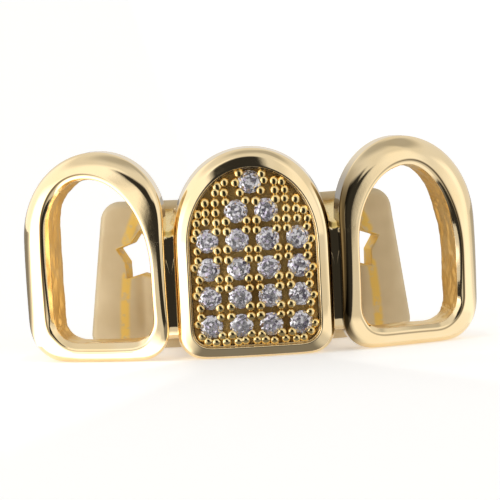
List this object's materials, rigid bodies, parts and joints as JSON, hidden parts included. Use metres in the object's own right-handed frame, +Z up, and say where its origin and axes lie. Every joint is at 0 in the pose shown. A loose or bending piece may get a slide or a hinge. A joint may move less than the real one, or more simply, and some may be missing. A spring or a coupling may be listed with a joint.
{
  "type": "grillz tooth cover",
  "caption": "Gold tooth cover: a stone-set cap between two open tooth frames, joined by webs to a back band with star cut-outs.",
  "frame": {"origin": "middle of the footprint, on the surface that the biting edges rest on", "axes": "+Z up from the biting edge to the gum side, -Y towards the lips, +Y towards the tongue, X across the teeth"},
  "size_m": [0.0254, 0.0095, 0.0116],
  "materials": {
    "polished_gold": "gold plated brass, polished",
    "panel_gold": "gold plated brass with polished grains",
    "clear_stone": "clear, faceted"
  },
  "bodies": {
    "root": {"cast_frame": "polished_gold", "pave_panel": "panel_gold", "stone_01": "clear_stone", "stone_02": "clear_stone", "stone_03": "clear_stone", "stone_04": "clear_stone", "stone_05": "clear_stone", "stone_06": "clear_stone", "stone_07": "clear_stone", "stone_08": "clear_stone", "stone_09": "clear_stone", "stone_10": "clear_stone", "stone_11": "clear_stone", "stone_12": "clear_stone", "stone_13": "clear_stone", "stone_14": "clear_stone", "stone_15": "clear_stone", "stone_16": "clear_stone", "stone_17": "clear_stone", "stone_18": "clear_stone", "stone_19": "clear_stone"}
  },
  "joints": []
}
